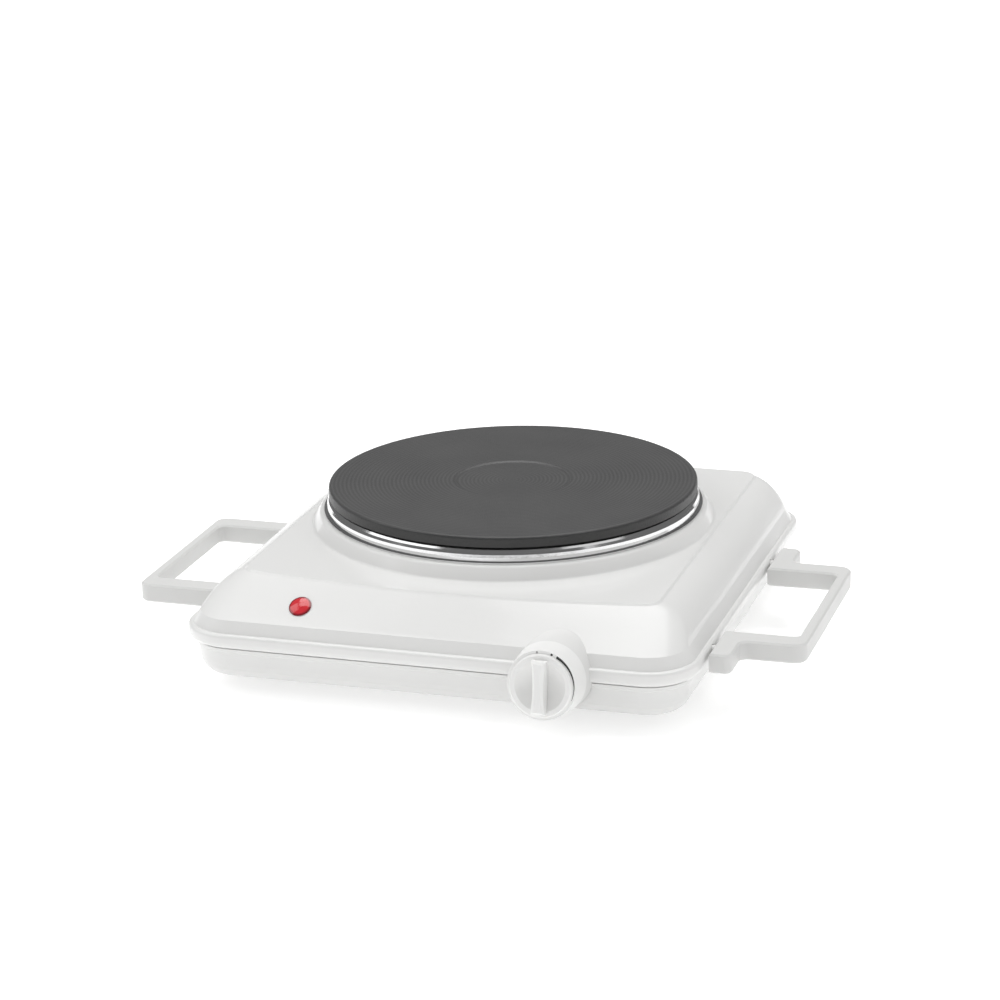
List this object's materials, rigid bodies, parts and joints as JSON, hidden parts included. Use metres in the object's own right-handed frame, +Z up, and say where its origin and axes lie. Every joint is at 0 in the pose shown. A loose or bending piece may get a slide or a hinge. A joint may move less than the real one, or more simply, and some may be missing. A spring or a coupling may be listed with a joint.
{
  "type": "hot plate burner",
  "caption": "Portable electric hot plate: enamelled sheet-steel body with a round cast-iron plate, side carrying handles, a thermostat knob and a pilot lamp.",
  "frame": {"origin": "centre of the bounding box in plan, on the table under the feet", "axes": "+X to the user's right, +Y to the back, +Z up; the knob is at the front right"},
  "size_m": [0.344, 0.2852, 0.0734],
  "materials": {
    "white_enamel": "glossy vitreous enamel",
    "white_plastic": "smooth moulded",
    "cast_iron": "turned, black heat-proof coating",
    "bright_chrome": "bright",
    "zinc_steel": "zinc plated",
    "spring_steel": "bare spring strip",
    "bimetal": "rolled strip",
    "brass": "turned",
    "coil_alloy": "oxidised heating alloy",
    "mineral_mass": "pressed mineral powder",
    "ceramic": "unglazed steatite",
    "black_rubber": "matt moulded",
    "black_plastic": "moulded",
    "pale_plastic": "moulded",
    "red_lens": "clear red moulding",
    "bulb_glass": "clear glass",
    "wire_brown": "insulated wire",
    "wire_black": "insulated wire",
    "wire_blue": "insulated wire",
    "wire_green": "insulated wire"
  },
  "bodies": {
    "housing": {"base_tray": "white_enamel", "bimetal_blade": "bimetal", "block_screws": "zinc_steel", "bush_nut": "brass", "cast_iron_plate": "cast_iron", "ceramic_rings": "ceramic", "chassis_screws": "zinc_steel", "clamp_bracket": "zinc_steel", "collar_screws": "zinc_steel", "contact_arm": "spring_steel", "contact_points": "brass", "cord_gland": "black_plastic", "cover_posts": "zinc_steel", "earth_lug": "brass", "earth_nut": "zinc_steel", "earth_screw": "zinc_steel", "foot_front_left": "black_rubber", "foot_front_right": "black_rubber", "foot_rear_left": "black_rubber", "foot_rear_right": "black_rubber", "foot_screws": "zinc_steel", "gland_locknut": "black_plastic", "handle_screws": "zinc_steel", "heating_coil": "coil_alloy", "insulation_mass": "mineral_mass", "knob_collar": "white_plastic", "lamp_bulb": "bulb_glass", "lamp_clip": "spring_steel", "left_handle": "white_plastic", "mains_terminal_block": "pale_plastic", "pilot_lens": "red_lens", "plate_bottom_cover": "zinc_steel", "plate_pins": "coil_alloy", "plate_stud": "zinc_steel", "plate_terminal_bar": "ceramic", "right_handle": "white_plastic", "spill_ring": "bright_chrome", "spring_blade": "spring_steel", "stack_rivet": "zinc_steel", "stud_nut": "zinc_steel", "stud_washer": "zinc_steel", "terminal_screws": "brass", "thermostat_bush": "brass", "thermostat_chassis": "zinc_steel", "thermostat_frame": "zinc_steel", "thermostat_tabs": "brass", "top_cover": "white_enamel", "wire_earth": "wire_green", "wire_live": "wire_brown", "wire_neutral": "wire_blue", "wire_switched": "wire_black"},
    "knob_assembly": {"knob": "white_plastic", "knob_spring_clip": "spring_steel", "thermostat_spindle": "zinc_steel"}
  },
  "joints": [
    {"name": "knob_turn", "type": "hinge", "parent": "housing", "child": "knob_assembly", "pos_m": [0.0636, -0.11091, 0.0266], "axis": [0, 0.9936, -0.1132], "range_deg": [0, 280]}
  ]
}
